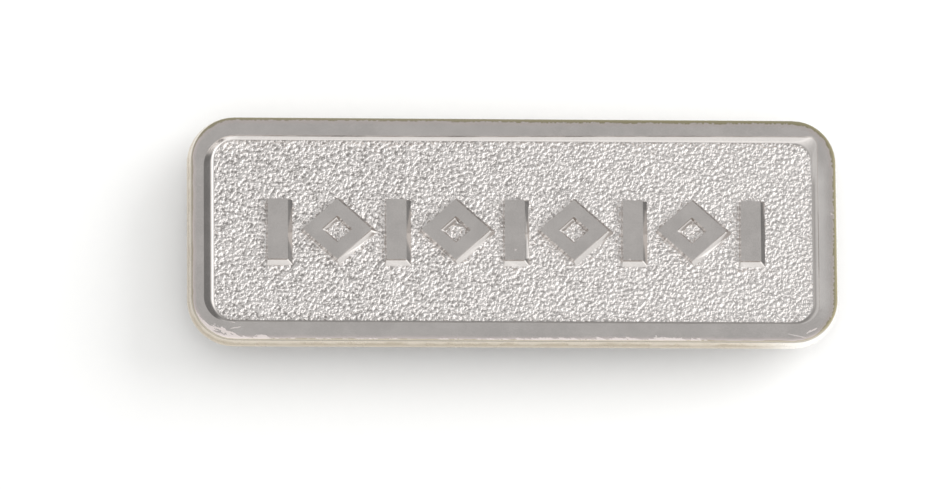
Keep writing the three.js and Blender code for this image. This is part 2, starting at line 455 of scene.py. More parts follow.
@dataclass(frozen=True)
class StruckPlate:
    """The plate: side wall, rim, inner wall, pebbled ground and raised ornament, fused into one body."""

    side_flare: float = 0.32
    corner_radius: float = 4.1
    rim_at_left: float = 1.07
    rim_at_right: float = 1.55
    rim_at_sides: float = 1.56
    wall_run_at_left: float = 0.96
    wall_run_at_sides: float = 0.27
    relief: float = 0.85
    ground_radius: float = 1.75
    rim_inner_radii: tuple[float, float, float, float] = (2.2, 1.9, 2.8, 0.7)
    wall_slope: float = 38.0
    wall_fillet: float = 0.44
    wall_widening: float = 0.2
    fillet_steps: int = 6
    slope_share: float = 0.3
    rim_shares: tuple[float, ...] = (0.02, 0.07, 0.3, 0.5, 0.7, 0.85)
    lower_round: float = 0.1
    sharp_edge: float = 0.025
    rubbed_round: float = 0.25
    step: float = 0.115
    corner_rows: int = 18
    grain_height: float = 0.022
    grain_period: float = 0.39
    grain_fade: float = 0.16
    ornament_length: float = 43.1
    ornament_height: float = 5.3
    ornament_draft: float = 0.42
    ornament_root: float = 0.3
    ornament_slope: float = 34.0
    ornament_corner: float = 0.1
    ornament_lead: float = 0.1
    ornament_steep_draft: float = 0.06
    ornament_lip_draft: float = 0.03
    ornament_lean: float = -30.0
    ornament_hollow: float = 0.05
    ornament_face_margin: float = 0.05
    bar_count: int = 5
    bar_width: float = 1.75
    bar_to_lozenge: float = 1.3
    lozenge_stroke: float = 1.1
    window_draft: float = 0.3
    # Widths of the rubbed band along the lower edge, where its lighter colour is also a painted highlight, at
    # the lower left corner and in its swell.
    wear_and_highlight_along: tuple[float, float] = (0.15, 0.3)
    worn_corner: float = 0.26
    worn_swell: float = 0.4
    swell_place: tuple[float, float] = (-25.5, -8.5)
    swell_size: float = 1.4
    # Strengths of the painted shade at the inner wall's foot, above and at the right, and on the lower inner
    # wall.
    shade_at_foot: tuple[float, float] = (0.65, 0.75)
    shade_on_wall: float = 0.9
    # Strengths of the painted highlight on the upper inner wall and on the rim beside the right inner wall.
    highlight_on_wall: float = 0.12
    highlight_beside: float = 0.6

    @property
    def back(self) -> float:
        """Height of the plate's back."""
        return float(box_mm(PLATE_NODE)[0][2])

    @property
    def rim(self) -> float:
        """Height of the rim."""
        return float(box_mm(PLATE_NODE)[1][2])

    @property
    def ground(self) -> float:
        """Height of the sunk ground."""
        return self.rim - self.relief

    @property
    def base_half(self) -> np.ndarray:
        """Half the length and width at the back."""
        return box_mm(PLATE_NODE)[1][:2]

    @property
    def upper_half(self) -> np.ndarray:
        """Half the length and width of the upper outline."""
        return self.base_half - self.side_flare

    @property
    def outer_radius(self) -> float:
        """Corner radius of the upper outline."""
        return self.corner_radius - self.side_flare

    @property
    def ground_half(self) -> np.ndarray:
        """Half the length and width of the ground."""
        rim = np.array([self.rim_at_left, self.rim_at_sides])
        return self.upper_half - (rim + [self.wall_run_at_left, self.wall_run_at_sides])

    def rows(self) -> tuple[np.ndarray, np.ndarray]:
        """Spaces the ground's rows.

        In a corner the normal's angle grows as the 0.75th power of the row, so that rows stay apart.

        Returns:
            Corner centre's place along Y, from -1 to 1, and the end normal's angle, for each row.
        """
        turn = (np.linspace(0, 1, self.corner_rows + 1) ** 0.75 - 1) * np.pi / 2
        straight = 2 * (self.ground_half[1] - self.ground_radius)
        between = np.linspace(-1, 1, int(straight / self.step) + 1)[1:-1]
        ones = np.ones(len(turn))
        places = np.concatenate([-ones, between, ones])
        turns = np.concatenate([turn, np.zeros(len(between)), -turn[::-1]])
        return places, turns

    def ground_surface(self, places: np.ndarray, turns: np.ndarray, along: np.ndarray) -> np.ndarray:
        """Works out the pebbled ground.

        Each row's ends lie on the ground's outline, and its points divide it evenly.
        The height is the grain, faded out next to the outline.

        Args:
            places: Corner centre's place along Y for each row.
            turns: Angle of each row's end normal.
            along: Places of the columns, from -1 to 1.

        Returns:
            Points, row by row.
        """
        half, radius = self.ground_half, self.ground_radius
        y = places * (half[1] - radius) + radius * np.sin(turns)
        reach = half[0] - radius + radius * np.cos(turns)
        x = along[None, :] * reach[:, None]
        y = np.broadcast_to(y[:, None], x.shape)
        grain = GrainField(2 * half[0], 2 * half[1], self.grain_period)
        fade = smooth(inside_distance(x, y, tuple(half), radius), 0, self.grain_fade)
        z = self.ground + self.grain_height * grain.at(x, y) * fade
        return np.stack([x, y, z], -1).reshape(-1, 3)

    def wear_and_highlight_width(self, x: np.ndarray, y: np.ndarray) -> np.ndarray:
        """Gives the width of the rubbed band along the rim's outer edge, whose lighter colour along the lower
        edge is partly painted highlight.

        It runs along the lower side, stops short of its right end and swells at the lower left corner.

        Args:
            x: Places along X.
            y: Places along Y.

        Returns:
            The width, 0 where the edge is not rubbed.
        """
        low = smooth(-y, 4.5, 8.5) * (1 - smooth(x, 15.5, 17.5))
        near_corner = smooth(-y, 7.0, 9.0) * (1 - smooth(x, -21.9, -21.1))
        away = np.hypot(x - self.swell_place[0], y - self.swell_place[1])
        swell = np.exp(-((away / self.swell_size) ** 2))
        narrow, broad = self.wear_and_highlight_along
        wide = narrow + (broad - narrow) * smooth(x, -6.0, 9.0)
        return wide * low + self.worn_corner * near_corner + self.worn_swell * swell

    def edge_round(self, ring: RoundRing) -> np.ndarray:
        """Gives the radius of the outer edge round the plate, larger where it is rubbed."""
        flat = ring.outline(self.upper_half, self.outer_radius, self.rim)
        return self.sharp_edge + self.rubbed_round * np.minimum(self.wear_and_highlight_width(flat[:, 0], flat[:, 1]), 0.5)

    def inner_radius(self, ring: RoundRing) -> np.ndarray:
        """Gives the radius of the rim's inner corners: lower left, lower right, upper left and upper right.

        Between the corners it changes evenly.

        Args:
            ring: The plate's ring.

        Returns:
            One radius for each point.
        """
        u, v = (ring.side_x + 1) / 2, (ring.side_y + 1) / 2
        a, b, c, d = self.rim_inner_radii
        return (a * (1 - u) + b * u) * (1 - v) + (c * (1 - u) + d * u) * v

    def ring_sections(self, ring: RoundRing) -> list[tuple[np.ndarray, int]]:
        """Carries the plate's profile round the ring, from the ground's outline to the back.

        A share of the wall's run counts from the rim's inner edge inwards, and one of the rim's outwards.
        The inner wall drops from the rim by an upright lip and then slopes evenly.
        Over the last share of its run, the fillet's, the slope eases to nothing.
        The lip takes what the slope leaves of the relief, so it is high where the run is short.
        Along the upper side the rim narrows to the right, by up to the widening.

        Args:
            ring: The plate's ring.

        Returns:
            Points of each section, and the finish of the faces between it and the one before.
        """
        growth = 0.1 + 0.9 * smooth(ring.side_x, -0.6, 0.9)
        widening = self.wall_widening * growth * smooth(ring.side_y, 0.2, 1.0)
        rim_at_ends = np.where(ring.side_x > 0, self.rim_at_right, self.rim_at_left)
        upper_half = self.upper_half[:, None]
        inner_half = upper_half - np.stack([rim_at_ends, self.rim_at_sides - widening])
        run = inner_half - self.ground_half[:, None]
        inner_radius = self.inner_radius(ring)
        facing = np.hypot(run[0] * ring.normal_x, run[1] * ring.normal_y)
        slope = math.tan(math.radians(self.wall_slope)) * facing
        fillet = self.wall_fillet
        sections = []
        in_fillet = 1 - fillet * np.linspace(0, 1, self.fillet_steps + 1)[1:]
        for share in (*in_fillet, self.slope_share, 0.0):
            under = max(share - (1 - fillet), 0)
            radius = inner_radius + share * (self.ground_radius - inner_radius)
            fall = self.relief - slope * (1 - fillet / 2 - share + under**2 / (2 * fillet))
            sections.append((ring.outline(inner_half - share * run, radius, self.rim - fall), Zone.POLISHED))
        sections.append((ring.outline(inner_half, inner_radius, self.rim), Zone.POLISHED))
        width = self.edge_round(ring)
        for share in self.rim_shares:
            half = inner_half + share * (upper_half - width.max() - inner_half)
            radius = inner_radius + share * (self.outer_radius - width.max() - inner_radius)
            sections.append((ring.outline(half, radius, self.rim), Zone.POLISHED))
        angles = np.linspace(0, np.pi / 2, 5)
        for angle in angles:
            inset = width * (1 - np.sin(angle))
            z = self.rim - width * (1 - np.cos(angle))
            sections.append((ring.outline(upper_half - inset, self.outer_radius - inset, z), Zone.POLISHED))
        wall_top, wall_foot = self.rim - width, self.back + self.lower_round
        for share in (0.5, 1.0):
            out = self.side_flare * share
            z = wall_top + share * (wall_foot - wall_top)
            sections.append((ring.outline(self.upper_half + out, self.outer_radius + out, z), Zone.SIDE))
        for angle in angles[2::2]:
            inset = self.lower_round * (1 - np.cos(angle))
            z = wall_foot - self.lower_round * np.sin(angle)
            sections.append((ring.outline(self.base_half - inset, self.corner_radius - inset, z), Zone.SIDE))
        return sections

    def body(self) -> Surface:
        """Joins the ground to the sections round it and closes the back.

        Returns:
            The plate without its ornament.
        """
        places, turns = self.rows()
        columns = int(2 * self.ground_half[0] / self.step) + 1
        along = np.linspace(-1, 1, columns)
        ground = self.ground_surface(places, turns, along)
        count = len(places)
        index = np.arange(count * columns).reshape(count, columns)
        border = np.concatenate([index[0], index[1:-1, -1], index[-1][::-1], index[1:-1, 0][::-1]])
        ring = RoundRing.of_grid(along, places, turns)
        quads = [grid_quads(count, columns)]
        zones = [np.full(len(quads[0]), Zone.PEBBLED)]
        points = [ground]
        previous, total = border, len(ground)
        for section, zone in self.ring_sections(ring):
            current = np.arange(len(border)) + total
            quads.append(np.stack([previous, current, np.roll(current, -1), np.roll(previous, -1)], -1))
            zones.append(np.full(len(border), zone))
            points.append(section)
            previous, total = current, total + len(border)
        cap = (previous[::-1], int(Zone.BACK))
        return Surface(np.concatenate(points), np.concatenate(quads), np.concatenate(zones), (cap,))

    def wall_levels(self, draft: float, normals: np.ndarray) -> list[tuple[np.ndarray, float]]:
        """Draws the sides of a raised figure, from its root to its upper face.

        Sides that face the leaning direction slope to a steep lip, and those that face away stand steep.
        How much a side leans is its normal's share of that direction plus 0.3, over 0.8, from 0 to 1.
        Each side rises straight from the root and leaves the ground in a small hollow.

        Args:
            draft: How far the foot of a leaning side stands out past the upper face.
            normals: The way that each side faces.

        Returns:
            For each level, the offset of each side and the height.
        """
        lean = math.radians(self.ornament_lean)
        facing = normals @ [math.cos(lean), math.sin(lean)]
        leaning = np.clip((facing + 0.3) / 0.8, 0, 1)
        foot = self.ornament_steep_draft + leaning * (draft - self.ornament_steep_draft)
        climb = math.tan(math.radians(self.ornament_slope)) * (draft - self.ornament_lip_draft)
        hollow = self.ornament_hollow
        levels = (
            (foot + hollow, -self.ornament_root),
            (foot + hollow, -0.4 * hollow),
            (foot, 0.5 * hollow),
            (foot * 0 + self.ornament_lip_draft, climb + 0.5 * hollow),
            (foot * 0, self.relief),
            (foot * 0 - self.ornament_face_margin, self.relief),
        )
        return [(offset, self.ground + rise) for offset, rise in levels]

    def drawn(self, corners: tuple) -> RoundPolygon:
        """Draws the upper face of a raised figure from its corners."""
        return RoundPolygon(corners, self.ornament_corner, lead=self.ornament_lead)

    def bar(self, x: float) -> Surface:
        """Makes one raised bar.

        Args:
            x: Its middle.

        Returns:
            A closed surface.
        """
        w, h = self.bar_width / 2, self.ornament_height / 2
        shape = self.drawn(((x - w, -h), (x + w, -h), (x + w, h), (x - w, h)))
        levels = self.wall_levels(self.ornament_draft, shape.normals())
        return lofted(shape, levels, Axes.UP)

    def lozenge(self, x: float, length: float) -> Surface:
        """Makes one pierced lozenge: up its outer side, over its face and down its window, past the ground.

        Args:
            x: Its middle.
            length: Its upper face, end to end.

        Returns:
            A closed surface.
        """
        a, b = length / 2, self.ornament_height / 2
        outer = self.drawn(((x - a, 0), (x, -b), (x + a, 0), (x, b)))
        shrink = 1 - self.lozenge_stroke * math.hypot(a, b) / (a * b)
        c, d = a * shrink, b * shrink
        inner = self.drawn(((x - c, 0), (x, -d), (x + c, 0), (x, d)))
        climb = self.wall_levels(self.ornament_draft, outer.normals())
        fall = self.wall_levels(self.window_draft, -inner.normals())[::-1]
        levels = [outer.level(offset, z) for offset, z in climb]
        levels += [inner.level(-offset, z) for offset, z in fall]
        quads = grid_quads(len(levels), outer.count, wrap_rows=True, wrap_columns=True)
        return Surface(np.concatenate(levels), quads, np.full(len(quads), Zone.POLISHED))

    def ornament(self) -> list[Surface]:
        """Sets bars at equal steps, with a lozenge between each two.

        Returns:
            The raised figures.
        """
        pitch = (self.ornament_length - self.bar_width) / (self.bar_count - 1)
        length = pitch - self.bar_width - 2 * self.bar_to_lozenge
        start = -(self.ornament_length - self.bar_width) / 2
        bars = [self.bar(start + i * pitch) for i in range(self.bar_count)]
        gaps = [self.lozenge(start + (i + 0.5) * pitch, length) for i in range(self.bar_count - 1)]
        return bars + gaps

    def edge_shading(self, x: np.ndarray, y: np.ndarray) -> np.ndarray:
        """Tells how much shade is painted at the rim's edge: on the upper and right sides, and more to the
        right.

        Args:
            x: Places along X.
            y: Places along Y.

        Returns:
            1 where the painted shade is full, and 0 on the lower and left sides.
        """
        radius = self.corner_radius
        out_x = np.sign(x) * np.clip((np.abs(x) - self.base_half[0] + radius) / radius, 0, 1)
        out_y = np.sign(y) * np.clip((np.abs(y) - self.base_half[1] + radius) / radius, 0, 1)
        # Weight of the painted shade at the edge: 1 on the upper and right sides.
        facing = np.maximum(0.5 * out_x + 0.87 * out_y, 0.9 * out_x + 0.6 * out_y)
        return smooth(facing, -0.2, 0.4) * (0.7 + 0.3 * smooth(x, -12.0, 12.0))

    def foot_shade_places(self, points: np.ndarray) -> np.ndarray:
        """Finds where shade is painted: the inner wall's foot, above and at the right, and the lower inner
        wall.

        Args:
            points: Points of the mesh.

        Returns:
            1 where the painted shade is deepest, and 0 away from it.
        """
        x, y, z = points.T
        half = self.ground_half
        inside = inside_distance(x, y, tuple(half), self.ground_radius)
        upper = np.exp(-(((inside - 0.05) / 0.12) ** 2)) * smooth(y, 0.7 * half[1], 0.95 * half[1])
        right = np.exp(-(((inside + 0.2) / 0.14) ** 2)) * smooth(x, 0.95 * half[0], half[0])
        right = right * smooth(-y, -6.0, -4.0)
        run = self.wall_run_at_sides
        lower = smooth(inside, 0.1, 0.0) * smooth(inside, -run - 0.02, -run + 0.06)
        lower = self.shade_on_wall * lower * smooth(-y, 0.8 * half[1], half[1])
        foot = np.maximum(self.shade_at_foot[0] * upper, self.shade_at_foot[1] * right)
        return np.maximum(foot, lower) * (self.rim - z < self.relief + 0.1)

    def painted_highlight(self, points: np.ndarray) -> np.ndarray:
        """Finds where highlight is painted: the upper inner wall, its left corner and the rim at the right.

        Args:
            points: Points of the mesh.

        Returns:
            1 where the painted highlight is strongest, and 0 away from it.
        """
        x, y, z = points.T
        depth = self.rim - z
        half = self.ground_half
        wall = smooth(depth, 0.01, 0.1) * smooth(-depth, -0.8, -0.7) * smooth(y, half[1] - 0.1, half[1])
        start = self.upper_half[0] - self.rim_at_right
        beside = smooth(x, start - 0.01, start) * smooth(-x, -start - 1.1, -start - 0.1)
        beside = beside * (depth < 0.02) * smooth(-y, -7.0, -4.0) * smooth(y, -8.0, -6.0)
        corner = smooth(-x, half[0] - 2.4, half[0] - 1.2) * smooth(y, half[1] - 1.6, half[1] - 0.9)
        corner = corner * smooth(depth, 0.01, 0.1) * smooth(-depth, -self.relief, -self.relief + 0.06)
        return np.maximum(self.highlight_on_wall * wall, np.maximum(self.highlight_beside * beside, corner))

    def build(self, materials: list[bpy.types.Material]) -> bpy.types.Object:
        """Fuses and dresses the plate.

        Args:
            materials: One finish for each zone, in the order of Zone.

        Returns:
            The finished piece.
        """
        mesh = fused("struck_plate", [self.body(), *self.ornament()])
        points = coordinates(mesh)
        x, y, z = points.T
        set_attribute(mesh, "inset", inside_distance(x, y, tuple(self.upper_half), self.outer_radius))
        set_attribute(mesh, "wear_and_highlight", self.wear_and_highlight_width(x, y))
        set_attribute(mesh, "edge_shade", self.edge_shading(x, y))
        set_attribute(mesh, "depth", self.rim - z)
        set_attribute(mesh, "foot_shade", self.foot_shade_places(points))
        set_attribute(mesh, "painted_highlight", self.painted_highlight(points))
        for number, material in enumerate(materials):
            mesh.materials[number] = material
        return place("struck_plate", mesh, 30, PLATE_NODE)


@dataclass(frozen=True)
class BarPin:
    """The soldered bar pin: foot strip, hinge, wire and catch, fused into one plain body."""

    foot_width: float = 5.0
    foot_thickness: float = 0.6
    solder_run: float = 0.22
    foot_inset: float = 0.05
    wire_radius: float = 0.5
    wire_clearance: float = 0.1
    wire_taper: float = 2.4
    wire_past_catch: float = 0.8
    hinge_length: float = 3.2
    hinge_flat: float = 2.0
    cheek_thickness: float = 0.6
    cheek_corner: float = 0.2
    coil_radius: float = 1.0
    coil_turns: int = 4
    coil_groove: float = 0.2
    catch_length: float = 3.0
    catch_width: float = 3.8
    catch_thickness: float = 0.65
    catch_bend: float = 0.15
    catch_lip: float = 1.7
    lip_taper: float = 0.12
    lip_thinning: float = 0.7
    end_margin: float = 1.6
    round_over: float = 0.1

    @property
    def half_length(self) -> float:
        """Half the foot strip's length."""
        return float(box_mm(PIN_NODE)[1][0])

    @property
    def top(self) -> float:
        """Height of the plate's back, where the foot strip is soldered on."""
        return float(box_mm(PIN_NODE)[1][2])

    @property
    def wire_height(self) -> float:
        """Height of the wire's middle."""
        return self.catch_thickness + self.wire_clearance + self.wire_radius

    @property
    def hinge_x(self) -> float:
        """Middle of the hinge."""
        return -self.half_length + self.end_margin + self.hinge_length / 2

    def foot(self) -> Surface:
        """Makes the strip with round ends, its lower edge rounded and solder drawn in round its upper one.

        Returns:
            A closed surface.
        """
        r = self.foot_width / 2
        a = self.half_length
        shape = RoundPolygon(((-a, -r), (a, -r), (a, r), (-a, r)), r - 0.001, 12)
        low = self.top - self.foot_thickness
        edge = self.round_over * 1.5
        inset, run = self.foot_inset, self.solder_run
        under = arc_profile((-edge - inset, low), (-inset, low + edge), -0.2, 4)
        solder = arc_profile((-inset, self.top - run), (run - inset, self.top), 0.2, 4)
        return lofted(shape, np.concatenate([under, solder]), Axes.UP, swell=True)

    def cheek(self, inner: float, outer: float) -> Surface:
        """Makes one folded cheek of the hinge.

        Args:
            inner: Its place along Y nearest to the middle.
            outer: Its place along Y farthest from the middle.

        Returns:
            A closed surface.
        """
        x, flat, half = self.hinge_x, self.hinge_flat / 2, self.hinge_length / 2
        head = self.top - self.foot_thickness / 2
        left = ((x - half, head), (x - half, self.wire_height))
        corners = ((x - flat, 0), (x + flat, 0), (x + half, self.wire_height), (x + half, head), *left)
        low, high = sorted((inner, outer))
        edge = self.round_over
        profile = np.array([[-edge, low], [-edge * 0.3, low + edge * 0.3], [0, low + edge]])
        profile = np.concatenate([profile, profile[::-1] * [1, -1] + [0, low + high]])
        return lofted(RoundPolygon(corners, self.cheek_corner), profile, Axes.ACROSS, swell=True)

    def turned(self, radii: np.ndarray, places: np.ndarray, along_x: bool, sides: int = 28) -> Surface:
        """Turns a profile about the wire's line or about the hinge's, and closes its ends.

        Args:
            radii: Radius at each place.
            places: Places along the axis.
            along_x: Whether the axis is the wire's, along X, or the hinge's, along Y.
            sides: Points round the axis.

        Returns:
            A closed surface.
        """
        angle = np.linspace(0, 2 * np.pi, sides, endpoint=False)
        first = radii[:, None] * np.cos(angle)[None, :]
        second = radii[:, None] * np.sin(angle)[None, :]
        axis = np.broadcast_to(places[:, None], first.shape)
        if along_x:
            return tube(np.stack([axis, first, second + self.wire_height], -1))
        return tube(np.stack([self.hinge_x + second, axis, first + self.wire_height], -1))

    def coil(self) -> Surface:
        """Makes the wire's coil between the cheeks: the radius swells and narrows once for each turn.

        Returns:
            A closed surface.
        """
        reach = self.foot_width / 2 - self.cheek_thickness / 2
        places = np.linspace(-reach, reach, 61)
        swell = np.abs(np.cos(np.pi * self.coil_turns * (places / (2 * reach) + 0.5)))
        groove = self.coil_groove
        radii = self.coil_radius * (1 - groove + groove * np.sqrt(1 - (1 - swell) ** 2))
        return self.turned(radii, places, along_x=False)

    def wire(self) -> Surface:
        """Makes the wire, whose last stretch narrows as the 0.75th power of the way left to its point.

        Returns:
            A closed surface.
        """
        tip = self.half_length - self.end_margin + self.wire_past_catch
        share = np.linspace(1, 0.02, 14)
        straight = np.array([self.hinge_x, 0.5 * (self.hinge_x + tip)])
        places = np.concatenate([straight, tip - self.wire_taper * share])
        radii = np.concatenate([[1, 1], share**0.75]) * self.wire_radius
        return self.turned(radii, places, along_x=True)

    def catch(self) -> Surface:
        """Makes the folded hook: a strip's section carried down, under the wire and up to its lip.

        The section is a rectangle with round corners, and the strip bends round quarter circles.

        Returns:
            A closed surface.
        """
        half = self.catch_thickness / 2
        bend = half + self.catch_bend
        left, right = -self.catch_width / 2 + half, self.catch_width / 2 - half
        head, floor = self.top - self.foot_thickness / 2, half
        quarter = np.linspace(0, np.pi / 2, 7)
        cos, sin = bend * np.cos(quarter), bend * np.sin(quarter)
        down = np.column_stack([left + bend - cos, floor + bend - sin])
        up = np.column_stack([right - bend + sin, floor + bend - cos])
        lip = [[right, self.catch_lip - self.lip_taper], [right, self.catch_lip]]
        path = np.concatenate([[[left, head]], down, up, lip])
        ahead = np.gradient(path, axis=0)
        ahead /= np.linalg.norm(ahead, axis=1)[:, None]
        beside = np.stack([-ahead[:, 1], ahead[:, 0]], -1)
        start = self.half_length - self.end_margin - self.catch_length
        corners = ((0, -half), (self.catch_length, -half), (self.catch_length, half), (0, half))
        section = RoundPolygon(corners, self.round_over).outline()
        thin = np.ones(len(path))
        thin[-1] = self.lip_thinning
        aside = section[:, 1][None, :] * thin[:, None]
        across = path[:, None, :] + beside[:, None, :] * aside[:, :, None]
        x = np.broadcast_to(start + section[:, 0], across.shape[:2])
        return tube(np.concatenate([x[:, :, None], across], -1), inward=True)

    def build(self, material: bpy.types.Material) -> bpy.types.Object:
        """Fuses and dresses the bar pin.

        Args:
            material: Its finish.

        Returns:
            The finished piece.
        """
        outer = self.foot_width / 2
        inner = outer - self.cheek_thickness
        cheeks = self.cheek(inner, outer), self.cheek(-inner, -outer)
        mesh = fused("bar_pin", [self.foot(), *cheeks, self.coil(), self.wire(), self.catch()])
        mesh.materials.clear()
        mesh.materials.append(material)
        return place("bar_pin", mesh, 35, PIN_NODE)


class Graph:
    """Adds nodes to one tree and joins them. Where a value is asked for, an output may be given instead."""

    def __init__(self, tree: bpy.types.NodeTree) -> None:
        """Takes the tree to fill."""
        self.tree = tree

    def add(self, kind: str, inputs: dict | None = None, **settings: object) -> bpy.types.Node:
        """Adds a node.

        Args:
            kind: Node type, without its leading ShaderNode.
            inputs: Input name or number to a value, or to an output to join.
            settings: Properties of the node.

        Returns:
            The node.
        """
        node = self.tree.nodes.new("ShaderNode" + kind)
        for key, value in settings.items():
            setattr(node, key, value)
        for key, value in (inputs or {}).items():
            if isinstance(value, Socket):
                self.tree.links.new(value, node.inputs[key])
            else:
                node.inputs[key].default_value = value
        return node

    def math(self, operation: str, *values: object) -> Socket:
        """Adds a Math node and gives its output."""
        return self.add("Math", dict(enumerate(values)), operation=operation).outputs[0]

    def plus(self, first: object, second: object) -> Socket:
        """Adds two values."""
        return self.math("ADD", first, second)

    def minus(self, first: object, second: object) -> Socket:
        """Takes the second value from the first."""
        return self.math("SUBTRACT", first, second)

    def times(self, first: object, second: object) -> Socket:
        """Multiplies two values."""
        return self.math("MULTIPLY", first, second)

    def ramp(self, value: object, low: object, high: object, to: tuple[object, object] = (0, 1)) -> Socket:
        """Eases a value from one range to another."""
        inputs = {"Value": value, "From Min": low, "From Max": high, "To Min": to[0], "To Max": to[1]}
        return self.add("MapRange", inputs, interpolation_type="SMOOTHSTEP").outputs["Result"]

    def vector(self, operation: str, *values: object) -> Socket:
        """Adds a Vector Math node and gives its vector."""
        return self.add("VectorMath", dict(enumerate(values)), operation=operation).outputs["Vector"]

    def dot(self, first: object, second: object) -> Socket:
        """Gives the dot product of two vectors."""
        return self.add("VectorMath", {0: first, 1: second}, operation="DOT_PRODUCT").outputs["Value"]

    def turned(self, vector: Socket, angle: object) -> Socket:
        """Turns a vector about Z."""
        return self.add("VectorRotate", {"Vector": vector, "Angle": angle}, rotation_type="Z_AXIS").outputs[0]

    def part(self, vector: Socket, axis: str) -> Socket:
        """Gives a vector's part along one axis."""
        return self.add("SeparateXYZ", {0: vector}).outputs[axis]

    def noise(self, vector: Socket, scale: float, detail: float, roughness: float = 0.5) -> Socket:
        """Adds soft noise about 0.5 and gives its output."""
        inputs = {"Vector": vector, "Scale": scale, "Detail": detail, "Roughness": roughness}
        return self.add("TexNoise", inputs).outputs[0]

    def stored(self, name: str) -> Socket:
        """Reads a number that the mesh stores for each point."""
        return self.add("Attribute", attribute_name=name).outputs["Fac"]

    def group(self, tree: bpy.types.NodeTree, inputs: dict) -> Socket:
        """Places a node group and gives its first output."""
        return self.add("Group", inputs, node_tree=tree).outputs[0]

    def blend(self, factor: object, first: object, second: object) -> Socket:
        """Mixes two numbers."""
        return self.add("Mix", {0: factor, 2: first, 3: second}, data_type="FLOAT").outputs[0]

    def mix(self, factor: object, first: Socket | Colour, second: Socket | Colour) -> Socket:
        """Mixes two colours."""
        first, second = (c if isinstance(c, Socket) else (*c, 1) for c in (first, second))
        return self.add("Mix", {0: factor, 6: first, 7: second}, data_type="RGBA").outputs[2]


class GroupGraph(Graph):
    """A node group in the making, with named inputs and one output, a number."""

    def __init__(self, name: str, **inputs: object) -> None:
        """Starts the group.

        Args:
            name: Name of the group.
            inputs: Input name to its default, a number or a vector.
        """
        super().__init__(bpy.data.node_groups.new(name, "ShaderNodeTree"))
        sockets = self.tree.interface
        for key, value in inputs.items():
            kind = "NodeSocketFloat" if isinstance(value, float) else "NodeSocketVector"
            sockets.new_socket(key, in_out="INPUT", socket_type=kind).default_value = value
        sockets.new_socket("Result", in_out="OUTPUT", socket_type="NodeSocketFloat")
        self.given = self.tree.nodes.new("NodeGroupInput").outputs
        self.end = self.tree.nodes.new("NodeGroupOutput").inputs[0]

    def finish(self, result: Socket) -> bpy.types.NodeTree:
        """Joins the output and gives the group."""
        self.tree.links.new(result, self.end)
        return self.tree


class Effects:
    """The shader node groups that the finishes share. Lengths in them are metres."""

    def __init__(self) -> None:
        """Builds each group once."""
        self.specks = self.make_specks()
        self.mark = self.make_mark()
        self.hairlines = self.make_hairlines()
        self.card = self.make_card()

    @staticmethod
    def make_specks() -> bpy.types.NodeTree:
        """Makes scattered specks: Voronoi cells whose random value passes a limit, round their points.

        Returns:
            The group.
        """
        graph = GroupGraph("Specks", Vector=NOWHERE, Scale=1000.0, Share=0.1, Size=0.2)
        given = graph.given
        cells = graph.add("TexVoronoi", {"Vector": given["Vector"], "Scale": given["Scale"]}).outputs
        random = graph.add("SeparateColor", {0: cells["Color"]}).outputs[0]
        chosen = graph.math("LESS_THAN", random, given["Share"])
        return graph.finish(graph.times(chosen, graph.ramp(cells["Distance"], given["Size"], 0.0)))

    @staticmethod
    def make_mark() -> bpy.types.NodeTree:
        """Makes one mark: a soft oval round a point, turned, with its edge broken up by noise.

        Returns:
            The group.
        """
        graph = GroupGraph("Mark", Vector=NOWHERE, Centre=NOWHERE, Angle=0.0, Length=0.001, Width=0.0002)
        given = graph.given
        moved = graph.vector("SUBTRACT", given["Vector"], given["Centre"])
        turned = graph.turned(moved, graph.times(given["Angle"], -1.0))
        u = graph.math("DIVIDE", graph.part(turned, "X"), given["Length"])
        v = graph.math("DIVIDE", graph.part(turned, "Y"), given["Width"])
        square = graph.plus(graph.times(u, u), graph.times(v, v))
        rough = graph.times(graph.minus(graph.noise(given["Vector"], 2600.0, 3.0), 0.5), 2.0)
        return graph.finish(graph.ramp(graph.plus(square, rough), 1.0, 0.55))

    @staticmethod
    def make_hairlines() -> bpy.types.NodeTree:
        """Makes fine rubbing lines: two stretched noises at a slant to each other, kept where they peak.

        Returns:
            The group.
        """
        graph = GroupGraph("Hairlines", Vector=NOWHERE)
        lines = []
        for angle, scale in ((0.35, 9000.0), (-0.9, 7000.0)):
            slant = graph.turned(graph.given["Vector"], angle)
            drawn = graph.vector("MULTIPLY", slant, (scale * 0.03, scale, scale))
            lines.append(graph.ramp(graph.noise(drawn, 1.0, 1.0), 0.62, 0.78))
        return graph.finish(graph.times(graph.math("MAXIMUM", *lines), 0.5))

    @staticmethod
    def make_card() -> bpy.types.NodeTree:
        """Makes one soft card of light: brightness that fades with the angle from its middle.

        Returns:
            The group.
        """
        graph = GroupGraph("Card", Direction=NOWHERE, Towards=(0, 0, 1), Edge=0.5, Full=0.9, Strength=1.0)
        given = graph.given
        facing = graph.dot(given["Direction"], graph.vector("NORMALIZE", given["Towards"]))
        return graph.finish(graph.ramp(facing, given["Edge"], given["Full"], (0.0, given["Strength"])))


@dataclass(frozen=True)
class WornSpot:
    """One rubbed place on the rim, as a turned oval."""

    x: float
    y: float
    angle: float
    half_length: float
    half_width: float
    strength: float


@dataclass(frozen=True)
class Coat:
    """What the layers of a finish share: its graph, node groups, the place on the piece and soft noise."""

    graph: Graph
    effects: Effects
    vector: Socket
    patches: Socket


